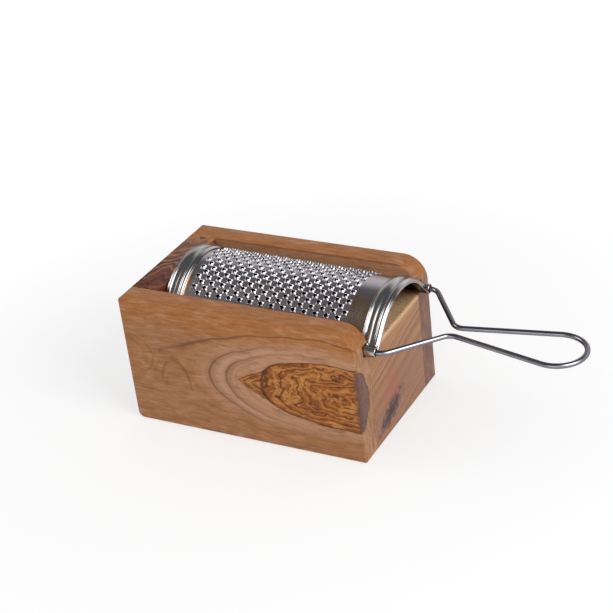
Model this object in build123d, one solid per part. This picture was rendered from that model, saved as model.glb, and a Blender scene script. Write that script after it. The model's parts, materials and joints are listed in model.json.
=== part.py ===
from build123d import *
import os
from math import acos, asin, atan, atan2, cos, degrees, hypot, pi, sin, sqrt

os.makedirs("parts", exist_ok=True)

# A nutmeg grater: a half-round punched sheet on a wire handle, which slides in the
# grooves of a small olive wood box. Millimetres, +X towards the handle, +Z up, and
# the origin in the middle of the box's underside.

# Wooden box
BOX_LENGTH = 100.0
BOX_HEIGHT = 53.7
SIDE_THICKNESS = 10.0
END_THICKNESS = 12.0
FLOOR_THICKNESS = 8.0
LOW_END_DROP = 11.6
SHOULDER_RADIUS = 9.4
HEEL_RADIUS = 2.8
END_ARRIS = 0.8
SIDE_ARRIS = 0.5
GROOVE_SLOPE = 0.87

# Grater sheet, measured on the middle of its thickness
GRATER_SPAN = 48.2
ARCH_RISE = 13.2
FLANK_LENGTH = 9.0
SHEET_THICKNESS = 0.4
HEM_TURN = 290.0

# Punched teeth: four-sided burrs round a square hole, every second place of a grid
COLUMN_PITCH = 2.28
ROW_PITCH = 2.28
TOOTH_BASE = 1.6
TOOTH_MOUTH = 0.85
TOOTH_HEIGHT = 1.0
HOLE_WIDTH = 1.2
BLANK_LEFT = 11.0
BLANK_RIGHT = 16.4

# End bands, folded over the ends of the sheet and rolled round its hems
BAND_WIDTH = 7.4
BAND_OVERHANG = 4.2
BAND_THICKNESS = 0.4
LIP_WIDTH = 3.4
BROAD_RIDGE_WIDTH = 3.2
BROAD_RIDGE_HEIGHT = 0.5
BROAD_RIDGE_CENTRE = 2.2
SLIM_RIDGE_WIDTH = 2.0
SLIM_RIDGE_HEIGHT = 0.45
SLIM_RIDGE_CENTRE = 6.1
RIDGE_SLOPE_WIDTH = 0.7
RIDGE_RUNOUT = 0.3

# Wire handle, its round section drawn with a few flats
WIRE_DIAMETER = 2.0
WIRE_FLAT_COUNT = 12
HANDLE_REACH = 69.5
SHOULDER_OFFSET = 2.75
SHOULDER_BEND = 5.0
NECK_OFFSET = 19.25
NECK_HALF_WIDTH = 2.5
NECK_BEND = 5.0
LOOP_RADIUS = 10.6
HANDLE_DROP = 1.3

# Clearances, and how far pieces sink into what carries them
WIRE_INSET = 2.1
SLIDE_CLEARANCE = 0.2
END_CLEARANCE = 1.0
HEM_CLEARANCE = 0.05
WRAP_CLEARANCE = 0.08
ROOT_DEPTH = 0.1

# Places in the box
cavity_half_width = GRATER_SPAN / 2 - WIRE_INSET
cavity_half_length = BOX_LENGTH / 2 - END_THICKNESS
low_end_height = BOX_HEIGHT - LOW_END_DROP

# Round the wire: the hem's bore and middle, then the band's bore, middle and outside
wire_radius = WIRE_DIAMETER / 2
hem_bore = wire_radius + HEM_CLEARANCE
hem_middle = hem_bore + SHEET_THICKNESS / 2
wrap_bore = hem_bore + SHEET_THICKNESS + WRAP_CLEARANCE
wrap_middle = wrap_bore + BAND_THICKNESS / 2
wrap_radius = wrap_bore + BAND_THICKNESS

# The grater's hems lie in the two grooves, which run out level with the low end. All of
# the grater is drawn level and then tilted about the wire's place at that end.
wire_y = GRATER_SPAN / 2
wire_z = low_end_height + SLIDE_CLEARANCE + wrap_radius
grater_left = END_CLEARANCE - cavity_half_length
grater_right = BOX_LENGTH / 2 + BAND_OVERHANG

slope_axis = Axis((BOX_LENGTH / 2, 0, wire_z), (0, 1, 0))

# The arch runs into each hem along a straight flank that is tangent to both
arch_radius = (wire_y**2 + ARCH_RISE**2 - hem_middle**2 - FLANK_LENGTH**2) / 2 / (ARCH_RISE + hem_middle)
arch_z = wire_z + ARCH_RISE - arch_radius
arch_axis = Axis((0, 0, arch_z), (1, 0, 0))
hem_distance = hypot(wire_y, wire_z - arch_z)
half_angle = atan2(wire_y, wire_z - arch_z) - acos((arch_radius + hem_middle) / hem_distance)
half_degrees = degrees(half_angle)
flank_down = Vector(0, cos(half_angle), -sin(half_angle))
flank_out = Vector(0, sin(half_angle), cos(half_angle))
arch_foot = Vector(0, 0, arch_z) + flank_out * arch_radius

# The sheet's arch is pressed in narrow flats, an odd number, one for each row of teeth
sheet_outside = arch_radius + SHEET_THICKNESS / 2
side_rows = round(half_angle * sheet_outside / ROW_PITCH - 0.5)
row_angle = half_angle / (side_rows + 0.5)

# Layers of the band, measured outwards from the middle of the sheet
leaf_low = SHEET_THICKNESS / 2 + WRAP_CLEARANCE
leaf_high = leaf_low + BAND_THICKNESS
leaf_middle = leaf_low + BAND_THICKNESS / 2

# The grooves reach up to where the crest of the bands passes the inner faces of the sides
crest_foot = arch_foot + flank_out * (leaf_high + BROAD_RIDGE_HEIGHT)
crest_run = (cavity_half_width - SLIDE_CLEARANCE - crest_foot.Y) / flank_down.Y
groove_top = max(crest_foot.Z + flank_down.Z * crest_run, wire_z + wrap_radius + SLIDE_CLEARANCE)


def in_slope(part):
    """Tilt a part that is drawn level into the slope of the grooves."""
    return part.rotate(slope_axis, GROOVE_SLOPE)


def round_corner(outline, side, level, radius):
    """Round the corner of a flat outline that lies furthest to one side and one level."""
    corner = max(outline.vertices(), key=lambda vertex: side * vertex.X + level * vertex.Y)
    return fillet(corner, radius)


def side_board():
    """The front side of the box: its right shoulder runs down to the low end, and a
    groove for the grater's hem is open at that end."""
    outline = Pos(0, BOX_HEIGHT / 2) * Rectangle(BOX_LENGTH, BOX_HEIGHT)
    outline = round_corner(outline, 1, 1, SHOULDER_RADIUS)
    outline = round_corner(outline, -1, 1, END_ARRIS)
    outline = round_corner(outline, -1, -1, HEEL_RADIUS)
    outline = round_corner(outline, 1, -1, END_ARRIS)
    board = Pos(0, -cavity_half_width, 0) * extrude(Plane.XZ * outline, amount=SIDE_THICKNESS)
    board = chamfer(board.faces().sort_by(Axis.Y)[0].edges(), SIDE_ARRIS)

    groove = Box(
        cavity_half_length + BOX_LENGTH,
        WIRE_INSET + wrap_radius + SLIDE_CLEARANCE,
        groove_top - low_end_height,
        align=(Align.MIN, Align.MAX, Align.MIN),
    )
    return board - in_slope(Pos(-cavity_half_length, -cavity_half_width, low_end_height) * groove)


def end_block(side, height, foot_radius):
    """A block between the two sides, with its outer top and bottom edges rounded."""
    outline = Pos(side * (BOX_LENGTH - END_THICKNESS) / 2, height / 2) * Rectangle(END_THICKNESS, height)
    outline = round_corner(outline, side, 1, END_ARRIS)
    outline = round_corner(outline, side, -1, foot_radius)
    return extrude(Plane.XZ * outline, amount=cavity_half_width, both=True)


def floor_board():
    """The bottom of the box, let in between the four walls."""
    return Box(
        2 * cavity_half_length,
        2 * cavity_half_width,
        FLOOR_THICKNESS,
        align=(Align.CENTER, Align.CENTER, Align.MIN),
    )


def sheet_edges(offset):
    """One skin of the sheet on the right half of its section, offset from the middle."""
    radius = arch_radius + offset
    crown = (0, arch_z + radius * cos(row_angle / 2))
    bends = [row_angle * (row + 0.5) for row in range(side_rows + 1)]
    flats = Polyline(crown, *[(radius * sin(bend), arch_z + radius * cos(bend)) for bend in bends])
    foot = arch_foot + flank_out * offset
    knee = foot + flank_down * FLANK_LENGTH
    return [
        flats,
        Line((foot.Y, foot.Z), (knee.Y, knee.Z)),
        CenterArc((wire_y, wire_z), hem_middle - offset, 270 - half_degrees, HEM_TURN),
    ]


def sheet_section():
    """The arch with its flanks and rolled hems, as a flat face."""
    outer = sheet_edges(SHEET_THICKNESS / 2)
    inner = sheet_edges(-SHEET_THICKNESS / 2)
    hem_end = Line(outer[-1] @ 1, inner[-1] @ 1)
    middle = Line(outer[0] @ 0, inner[0] @ 0)
    half = make_face([*outer, hem_end, *inner, middle])
    return half + mirror(half, about=Plane.YZ)


def tooth_places():
    """Place of every tooth on the flats of the arch, its own Z pointing outwards."""
    outside = sheet_outside * cos(row_angle / 2)
    field_length = grater_right - grater_left - BLANK_LEFT - BLANK_RIGHT
    columns = round(field_length / COLUMN_PITCH)
    for row in range(-side_rows, side_rows + 1):
        turn = Rot(X=degrees(row * row_angle))
        for column in range(columns + 1):
            if (row + column) % 2 == 1:
                x = grater_left + BLANK_LEFT + field_length * column / columns
                yield Pos(x, 0, arch_z) * turn * Pos(0, 0, outside) * Rot(Z=45)


def square_peg(bottom, base_width, top, top_width):
    """A square peg that narrows evenly from its bottom to its top level."""
    lean = atan((base_width - top_width) / 2 / (top - bottom))
    peg = extrude(Rectangle(base_width, base_width), amount=top - bottom, taper=degrees(lean))
    return Pos(0, 0, bottom) * peg


def grater_sheet():
    """The punched sheet: one strip with hems, its hollow teeth standing out of the arch."""
    fold = BAND_THICKNESS + WRAP_CLEARANCE
    sheet = extrude(Plane.YZ * sheet_section(), amount=grater_right - grater_left - 2 * fold)
    sheet = Pos(grater_left + fold, 0, 0) * sheet

    burr = square_peg(-ROOT_DEPTH, TOOTH_BASE, TOOTH_HEIGHT, TOOTH_MOUTH)
    below = -SHEET_THICKNESS - ROOT_DEPTH
    hole = square_peg(below, HOLE_WIDTH, TOOTH_HEIGHT, TOOTH_MOUTH)
    places = list(tooth_places())
    print(f"{len(places)} teeth, arch radius {arch_radius:.2f}")
    sheet = sheet + [place * burr for place in places]
    return sheet - [place * hole for place in places]


def ridge(centre, width, height):
    """A raised rib of the band: a flat crest between two slopes, its foot sunk in the leaf."""
    crest_width = width - 2 * RIDGE_SLOPE_WIDTH
    half = Polyline(
        (centre, leaf_middle),
        (centre + width / 2, leaf_middle),
        (centre + width / 2, leaf_high),
        (centre + crest_width / 2, leaf_high + height),
        (centre, leaf_high + height),
    )
    other_half = mirror(half, about=Plane((centre, 0, 0), z_dir=(1, 0, 0)))
    return make_face([*half.edges(), *other_half.edges()])


def band_layers(fold_side):
    """Sections of one band: its outer leaf, the fold over the sheet's end and the inner
    lip, then the two ridges. X runs along the grater, Y outwards from the sheet."""
    leaf = Pos(BAND_WIDTH / 2, leaf_middle) * Rectangle(BAND_WIDTH, BAND_THICKNESS)
    inwards = -fold_side
    fold_x = BAND_WIDTH if fold_side > 0 else 0
    fold = Pos(fold_x + inwards * BAND_THICKNESS / 2, 0) * Rectangle(BAND_THICKNESS, 2 * leaf_high)
    lip = Pos(fold_x + inwards * LIP_WIDTH / 2, -leaf_middle) * Rectangle(LIP_WIDTH, BAND_THICKNESS)
    ridges = [
        ridge(BROAD_RIDGE_CENTRE, BROAD_RIDGE_WIDTH, BROAD_RIDGE_HEIGHT),
        ridge(SLIM_RIDGE_CENTRE, SLIM_RIDGE_WIDTH, SLIM_RIDGE_HEIGHT),
    ]
    return leaf + fold + lip, lip, ridges


def end_band(left_edge, fold_side):
    """A ribbed band over one end of the arch. It clasps the sheet's edge between its leaf
    and its lip, and rolls round both hems to make the two feet that run in the grooves."""
    clasp, lip, ridges = band_layers(fold_side)
    crown = Plane(origin=(left_edge, 0, arch_z + arch_radius), x_dir=(1, 0, 0), z_dir=(0, -1, 0))
    leaf_end = FLANK_LENGTH - sqrt(wrap_middle**2 - (hem_middle - leaf_middle) ** 2)
    ridge_end = FLANK_LENGTH - wrap_radius - RIDGE_RUNOUT

    arch = []
    flank = []
    for section, length in [(clasp, leaf_end), (lip, FLANK_LENGTH)] + [(rib, ridge_end) for rib in ridges]:
        start = (crown * section).rotate(arch_axis, -half_degrees)
        arch.append(revolve(start, axis=arch_axis, revolution_arc=2 * half_degrees))
        flank.append(extrude(start, amount=length, dir=flank_down))

    knee = arch_foot + flank_down * FLANK_LENGTH + Vector(left_edge, 0, 0)
    wrap_plane = Plane(origin=knee, x_dir=flank_down, z_dir=(1, 0, 0))
    ring = Pos(0, hem_middle) * (Circle(wrap_radius) - Circle(wrap_bore))
    slot = Pos(-wrap_radius, 0) * Rectangle(2 * wrap_radius, 2 * leaf_low)
    foot = extrude(wrap_plane * (ring - slot), amount=BAND_WIDTH)

    half = foot + flank
    return arch[0] + arch[1:] + half + mirror(half, about=Plane.XZ)


def wire_handle():
    """One wire: through the front hem, round the teardrop loop and back through the other."""
    start = Vector(grater_left + BAND_THICKNESS, -wire_y, wire_z)
    shoulder = Vector(grater_right + SHOULDER_OFFSET, -wire_y, wire_z)
    level = wire_z - HANDLE_DROP
    neck = Vector(grater_right + NECK_OFFSET, -NECK_HALF_WIDTH, level)
    tip = Vector(grater_right + HANDLE_REACH, 0, level)
    loop_centre = tip - Vector(LOOP_RADIUS, 0, 0)
    to_centre = loop_centre - neck
    opening = atan2(to_centre.Y, to_centre.X) - asin(LOOP_RADIUS / to_centre.length)
    run = sqrt(to_centre.length**2 - LOOP_RADIUS**2)
    loop_start = neck + Vector(cos(opening), sin(opening), 0) * run

    front = FilletPolyline(start, shoulder, neck, loop_start, radius=[SHOULDER_BEND, NECK_BEND])
    back = mirror(front, about=Plane.XZ)
    bow = ThreePointArc(loop_start, tip, Vector(loop_start.X, -loop_start.Y, level))
    path = Wire([*front.edges(), bow, *back.edges()])
    section = Plane(origin=start, z_dir=(1, 0, 0)) * RegularPolygon(wire_radius, WIRE_FLAT_COUNT)
    wire = sweep(section, path=path)
    print(f"wire {path.length:.1f} mm, volume ratio {wire.volume / (section.area * path.length):.4f}")
    return wire


front_board = side_board()
sub_parts = {
    "front_board": front_board,
    "back_board": mirror(front_board, about=Plane.XZ),
    "left_end_block": end_block(-1, BOX_HEIGHT, HEEL_RADIUS),
    "right_end_block": end_block(1, low_end_height, END_ARRIS),
    "floor_board": floor_board(),
    "grater_sheet": in_slope(grater_sheet()),
    "left_end_band": in_slope(end_band(grater_left, -1)),
    "right_end_band": in_slope(end_band(grater_right - BAND_WIDTH, 1)),
    "wire_handle": in_slope(wire_handle()),
}
for node, solid in sub_parts.items():
    export_step(solid, f"parts/{node}.step")
    print(f"{node}: {len(solid.solids())} solid, {solid.volume:.1f} mm3")
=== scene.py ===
import json
from math import acos, asin, atan2, cos, hypot, pi, radians, sin, sqrt, tan
from random import Random

import bpy
from bpy.props import FloatProperty, FloatVectorProperty, IntProperty, PointerProperty
from bpy.types import Operator, Panel, PropertyGroup
from mathutils import Matrix, Vector


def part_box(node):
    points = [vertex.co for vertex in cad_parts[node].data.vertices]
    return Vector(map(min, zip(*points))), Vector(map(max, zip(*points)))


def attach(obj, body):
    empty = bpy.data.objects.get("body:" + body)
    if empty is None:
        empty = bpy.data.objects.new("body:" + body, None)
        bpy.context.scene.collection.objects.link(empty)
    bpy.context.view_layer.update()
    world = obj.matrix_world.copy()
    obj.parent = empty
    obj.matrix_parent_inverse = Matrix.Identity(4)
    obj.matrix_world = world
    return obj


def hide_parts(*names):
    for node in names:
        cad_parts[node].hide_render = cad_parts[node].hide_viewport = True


bl_info = {
    "name": "Nutmeg grater in an olive wood box",
    "version": (1, 0, 0),
    "blender": (4, 5, 0),
    "location": "3D View > Sidebar > Nutmeg",
    "description": "Dresses the grater's box, punched sheet, bands and wire, and sets the studio",
    "category": "Object",
}

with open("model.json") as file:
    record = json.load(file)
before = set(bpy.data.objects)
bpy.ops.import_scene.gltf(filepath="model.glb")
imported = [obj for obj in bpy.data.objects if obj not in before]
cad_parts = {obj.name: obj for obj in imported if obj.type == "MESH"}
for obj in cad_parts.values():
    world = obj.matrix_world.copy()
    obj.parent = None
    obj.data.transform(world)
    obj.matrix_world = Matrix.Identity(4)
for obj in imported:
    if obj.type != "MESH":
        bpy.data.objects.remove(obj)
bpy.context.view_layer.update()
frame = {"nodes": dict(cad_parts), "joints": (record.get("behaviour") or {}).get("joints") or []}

MM = 0.001
DIFFUSE_WHITE = (0.9, 0.9, 0.9, 1.0)
WHITE = (1.0, 1.0, 1.0, 1.0)


def srgb(red, green, blue):
    """A display colour, 0 to 255, as the linear colour that a material takes."""
    def linear(value):
        share = value / 255
        return share / 12.92 if share <= 0.04045 else ((share + 0.055) / 1.055) ** 2.4
    return (linear(red), linear(green), linear(blue), 1.0)


def colour(name, description, default):
    """A colour that the user may change."""
    return FloatVectorProperty(
        name=name, description=description, default=default, size=4, subtype="COLOR", min=0, max=1
    )


def length(name, description, default):
    """A length that the user may change, given in millimetres and kept in metres."""
    return FloatProperty(
        name=name, description=description, default=default * MM, unit="LENGTH", subtype="DISTANCE"
    )


def angle(name, description, default):
    """An angle that the user may change, given in degrees and kept in radians."""
    return FloatProperty(name=name, description=description, default=radians(default), subtype="ANGLE")


def place(name, description, default):
    """A place that the user may change, given in millimetres and kept in metres."""
    metres = tuple(value * MM for value in default)
    return FloatVectorProperty(
        name=name, description=description, default=metres, unit="LENGTH", subtype="XYZ"
    )


def power(name, description, default):
    """The power of a lamp, in watts."""
    return FloatProperty(name=name, description=description, default=default, unit="POWER", min=0)


class NutmegWood(PropertyGroup):
    """Colours and edges of the olive wood box."""
    orange: colour("Orange sapwood", "Warm wood at the top and the back", srgb(160, 100, 50))
    tan: colour("Tan sapwood", "Plain wood of the front", srgb(151, 104, 66))
    pale: colour("Pale sapwood", "Pinkish wood inside the big eye", srgb(178, 136, 106))
    line: colour("Growth line", "Thin darker growth lines", srgb(106, 58, 26))
    gold: colour("Burl gold", "Light bands of the burl", srgb(184, 124, 62))
    amber: colour("Burl amber", "Middle tone of the burl", srgb(138, 76, 28))
    ink: colour("Burl ink", "Dark lines of the burl", srgb(66, 32, 14))
    plum: colour("Plum stain", "Purple grey stain round the burl and on the end grain", srgb(92, 68, 70))
    heart: colour("Heartwood", "Dark red brown of the left block", srgb(98, 48, 32))
    ember: colour("Heartwood swirl", "Lighter swirls of the left block", srgb(176, 112, 72))
    soot: colour("Heartwood line", "Nearly black lines of the left block", srgb(40, 20, 14))
    straw: colour("Straw", "Light wood of the right block", srgb(172, 124, 82))
    # Sawn top: pale grain lines of the right block, and painted light that lightens its top and a band just under its
    # top edge.
    pale_grain_and_painted_light: colour("Sawn top", "Light sawn top of the right block", srgb(228, 186, 146))
    blush: colour("Blush", "Reddish patch over the dark knot of the right block", srgb(160, 92, 72))
    clay: colour("Clay", "Rosy wood of the right block", srgb(140, 98, 76))
    edge: length("Edge radius", "How far the sharp wooden edges are eased", 0.3)


class NutmegSteel(PropertyGroup):
    """Tones of the stainless steel."""
    sheet: colour("Sheet", "Polished sheet between the teeth", srgb(196, 192, 200))
    # Dull sheet: a brownish painted reflection of the room on the sheet's blank ends, and faint cloudy marks on the
    # bands.
    painted_reflection_and_marks: colour("Dull sheet", "Brownish film on the blank ends of the sheet", srgb(200, 168, 136))
    # Teeth: the torn metal of the teeth, whitened as a painted highlight.
    tooth: colour("Teeth", "Bright torn metal of the teeth", srgb(236, 234, 240))
    # Hollows: painted shade, the dark colour of the teeth's holes and of the sheet's underside.
    painted_shade: colour("Hollows", "Dark inside of the teeth", srgb(44, 42, 44))
    band: colour("Bands", "Polished end bands", srgb(184, 186, 188))
    wire: colour("Wire", "Drawn wire", srgb(130, 126, 136))
    rim: colour("Grazing tint", "How dark the steel gets where it is seen at a grazing angle", srgb(150, 146, 150))


class NutmegSizes(PropertyGroup):
    """Sizes of the grater that the looks need beside the frame."""
    thickness: length("Sheet thickness", "Thickness of the sheet and of the bands", 0.4)
    wrap_gap: length("Wrap gap", "Space between the sheet and the bands", 0.08)
    hem_bore: length("Hem bore", "Inner radius of the rolled hem", 1.05)
    slide_gap: length("Slide gap", "Space between the grater and the box", 0.2)
    end_gap: length("End gap", "Space between the grater and the left block", 1.0)
    overhang: length("Overhang", "How far the right band stands past the box", 4.2)
    rise: length("Arch rise", "Height of the sheet's crown over the wire", 13.2)
    flank: length("Flank", "Straight stretch between the arch and the hem", 9.0)
    hem_turn: angle("Hem turn", "How far the hem rolls round the wire", 290)
    blank_left: length("Left blank", "From the grater's left end to the first column", 11.0)
    blank_right: length("Right blank", "From the last column to the grater's right end", 16.4)
    columns: IntProperty(name="Columns", description="Columns of teeth along the sheet", default=29, min=3)
    rows: IntProperty(name="Rows", description="Rows of teeth across the arch, an odd number", default=17, min=3)
    tooth_height: length("Tooth height", "Height of a tooth's tips over the sheet", 1.0)
    tooth_foot: length("Tooth foot", "Radius of a tooth's foot", 1.46)
    tooth_mouth: length("Tooth mouth", "Radius of a tooth's torn rim", 0.80)
    band_width: length("Band width", "Width of a band along the grater", 7.4)
    lip: length("Lip", "Width of the band's lip under the sheet", 3.4)
    broad_ridge: length("Broad ridge", "Width of the broad ridge of a band", 3.4)
    broad_height: length("Broad ridge height", "How far the broad ridge stands out", 0.5)
    broad_centre: length("Broad ridge place", "From the band's left edge to the broad ridge", 2.2)
    slim_ridge: length("Slim ridge", "Width of the slim ridge of a band", 2.0)
    slim_height: length("Slim ridge height", "How far the slim ridge stands out", 0.45)
    slim_centre: length("Slim ridge place", "From the band's left edge to the slim ridge", 6.1)
    wire_diameter: length("Wire diameter", "Diameter of the handle's wire", 2.0)
    shoulder: length("Shoulder", "From the right band to the handle's first bend", 2.75)
    neck: length("Neck", "From the right band to the handle's narrow neck", 19.25)
    neck_half: length("Neck half width", "From the middle to the wire at the neck", 2.5)
    bend: length("Bend radius", "Radius of the wire's bends", 5.0)
    loop: length("Loop radius", "Radius of the loop's round end", 10.6)
    reach: length("Reach", "From the right band to the loop's end", 69.48)
    drop: length("Drop", "How far the loop lies under the hems", 1.3)


class NutmegStudio(PropertyGroup):
    """Camera and lamps."""
    azimuth: angle("Azimuth", "Camera angle round the box", 30.75)
    elevation: angle("Elevation", "Camera angle over the floor", 29.35)
    roll: angle("Roll", "Tilt of the picture", -6.99)
    camera: place("Camera", "Place of the camera", (281.25, -450.05, 337.52))
    lens: FloatProperty(name="Lens", description="Focal length in millimetres on a 36 mm sensor", default=93.05)
    right_lamp: place("Right lamp", "Place of the lamp that the teeth catch", (900.0, -260.0, 720.0))
    right_power: power("Right lamp power", "Power of the right lamp", 5.5)
    left_lamp: place("Left lamp", "Place of the lamp that the ridges catch", (-940.0, -130.0, 790.0))
    left_power: power("Left lamp power", "Power of the left lamp", 1.5)
    front_lamp: place("Front lamp", "Place of the soft lamp before the box", (250.0, -1300.0, 420.0))
    front_power: power("Front lamp power", "Power of the front lamp", 3.2)
    sky: FloatProperty(name="Sky", description="Strength of the even light from all round", default=0.66)
    right_panel: FloatProperty(name="Right panel", description="Brightness that the teeth mirror", default=3.2)
    left_panel: FloatProperty(name="Left panel", description="Brightness that the ridges mirror", default=2.2)
    overhead: FloatProperty(name="Overhead", description="How bright steel sees the room overhead", default=0.12)


class Value:
    """A number that varies over a surface; arithmetic on it adds Math nodes."""

    def __init__(self, recipe, socket):
        self.recipe = recipe
        self.socket = socket

    def math(self, operation, *others):
        return self.recipe.add("ShaderNodeMath", {"operation": operation}, dict(enumerate((self, *others))))

    def __add__(self, other):
        return self.math("ADD", other)

    __radd__ = __add__

    def __sub__(self, other):
        return self.math("SUBTRACT", other)

    def __rsub__(self, other):
        return self.recipe.add("ShaderNodeMath", {"operation": "SUBTRACT"}, {0: other, 1: self})

    def __mul__(self, other):
        return self.math("MULTIPLY", other)

    __rmul__ = __mul__

    def __truediv__(self, other):
        return self.math("DIVIDE", other)

    def __rtruediv__(self, other):
        return self.recipe.add("ShaderNodeMath", {"operation": "DIVIDE"}, {0: other, 1: self})

    def __pow__(self, other):
        return self.math("POWER", other)

    def __abs__(self):
        return self.math("ABSOLUTE")


class Recipe:
    """The nodes of one material or world, with places on the object in millimetres."""

    def __init__(self, owner):
        self.owner = owner
        owner.use_nodes = True
        self.tree = owner.node_tree
        self.tree.nodes.clear()

    def add(self, kind, settings=None, sockets=None, output=0):
        """One node: its settings first, then its sockets by name or number."""
        node = self.tree.nodes.new(kind)
        for name, value in (settings or {}).items():
            setattr(node, name, value)
        for name, value in (sockets or {}).items():
            if isinstance(value, Value):
                self.tree.links.new(value.socket, node.inputs[name])
            else:
                node.inputs[name].default_value = value
        return Value(self, node.outputs[output]) if node.outputs else None

    def place(self):
        """X, Y and Z on the object in millimetres, and the same as one vector."""
        where = self.add("ShaderNodeTexCoord", output="Object")
        vector = self.scaled(where, (1 / MM, 1 / MM, 1 / MM))
        return (*self.split(vector), vector)

    def split(self, vector):
        """X, Y and Z of a vector."""
        return [self.add("ShaderNodeSeparateXYZ", sockets={0: vector}, output=axis) for axis in "XYZ"]

    def scaled(self, vector, factors):
        """A vector stretched along its axes."""
        return self.add("ShaderNodeVectorMath", {"operation": "MULTIPLY"}, {0: vector, 1: factors})

    def noise(self, vector, size, detail=2.0, roughness=0.5, distortion=0.0):
        """Noise from 0 to 1 whose lumps are about as large as size."""
        sockets = {"Vector": vector, "Scale": 1 / size, "Detail": detail}
        sockets.update({"Roughness": roughness, "Distortion": distortion})
        return self.add("ShaderNodeTexNoise", {"noise_dimensions": "3D"}, sockets)

    def lines(self, ring, size, detail=2.0, roughness=0.5):
        """Noise along one coordinate only, which makes uneven lines across it."""
        sockets = {"W": ring, "Scale": 1 / size, "Detail": detail, "Roughness": roughness}
        return self.add("ShaderNodeTexNoise", {"noise_dimensions": "1D"}, sockets)

    def step(self, value, low, high):
        """0 below low, 1 above high, and smooth between; low may be the larger."""
        return self.add(
            "ShaderNodeMapRange",
            {"interpolation_type": "SMOOTHSTEP"},
            {"Value": value, "From Min": low, "From Max": high},
        )

    def hump(self, value, centre, width):
        """1 at the centre, falling smoothly to 0 at one width on both sides."""
        return self.step(abs(value - centre), width, 0.0)

    def mix(self, factor, first, second):
        """Two colours mixed; factor 0 gives the first."""
        return self.add(
            "ShaderNodeMix",
            {"data_type": "RGBA", "clamp_factor": True},
            {0: factor, 6: first, 7: second},
            output=2,
        )

    def bump(self, height, distance, strength=1.0):
        """A relief that feeds the shader's normal; distance in millimetres."""
        return self.add("ShaderNodeBump", sockets={"Strength": strength, "Distance": distance * MM, "Height": height})

    def finish(self, shader, kind="ShaderNodeOutputMaterial"):
        """Connects the shader and gives the material or the world."""
        self.add(kind, sockets={"Surface": shader})
        return self.owner


def material(name):
    """An empty recipe for a new material."""
    return Recipe(bpy.data.materials.new(name))


def wood_shader(recipe, tone, roughness, relief):
    """Oiled wood: satin, with a shallow grain."""
    return recipe.add(
        "ShaderNodeBsdfPrincipled",
        sockets={
            "Base Color": tone,
            "Roughness": roughness,
            "Specular IOR Level": 0.22,
            "Normal": recipe.bump(relief, 0.12, 0.6),
        },
    )


def fine_grain(recipe, vector, stretch):
    """Fibres and pores: long thin streaks, 0 to 1, in the direction with the small factor."""
    stretched = recipe.scaled(vector, stretch)
    fibres = recipe.noise(stretched, 0.85, detail=3.0, roughness=0.7)
    pores = recipe.step(recipe.noise(stretched, 0.5, detail=1.0), 0.40, 0.30)
    return fibres, pores


def olive_board(recipe, wood, vector, ring, tone, thin_size, depth=1.0):
    """What every board shares: broad bands and thin growth lines along the rings, fibres
    and pores along the board. Gives the tone and the height of the grain."""
    fibres, pores = fine_grain(recipe, vector, (0.13, 1.0, 1.0))
    broad = recipe.lines(ring, thin_size * 4.5)
    thin = recipe.lines(ring, thin_size, detail=3.0, roughness=0.6)
    blotch = recipe.noise(recipe.scaled(vector, (0.5, 1.0, 1.0)), 4.5, detail=3.0, roughness=0.6)
    tone = recipe.mix(recipe.step(broad, 0.60, 0.40) * 0.30 * depth, tone, wood.orange)
    tone = recipe.mix(recipe.step(thin, 0.50, 0.30) * 0.24 * depth, tone, wood.line)
    tone = recipe.mix(recipe.step(thin, 0.55, 0.75) * 0.22 * depth, tone, wood.pale)
    tone = recipe.mix(recipe.step(blotch, 0.52, 0.70) * 0.45, tone, wood.pale)
    tone = recipe.mix(recipe.step(blotch, 0.48, 0.30) * 0.28, tone, wood.line)
    tone = recipe.mix(recipe.step(fibres, 0.50, 0.72) * 0.50, tone, wood.pale)
    tone = recipe.mix(recipe.step(fibres, 0.50, 0.28) * 0.42 + pores * 0.16, tone, wood.line)
    return tone, fibres * 0.7 + thin * 0.3


def painted_cavity_shade(recipe, wood, z, tone, inner):
    """The inside of the box under the grater: painted shade that darkens the walls below the grooves."""
    # Painted shade: darker below the grooves, towards the floor of the box.
    return recipe.mix(inner * recipe.step(z, 43.0, 40.0) * 0.72, tone, wood.soot)


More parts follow.
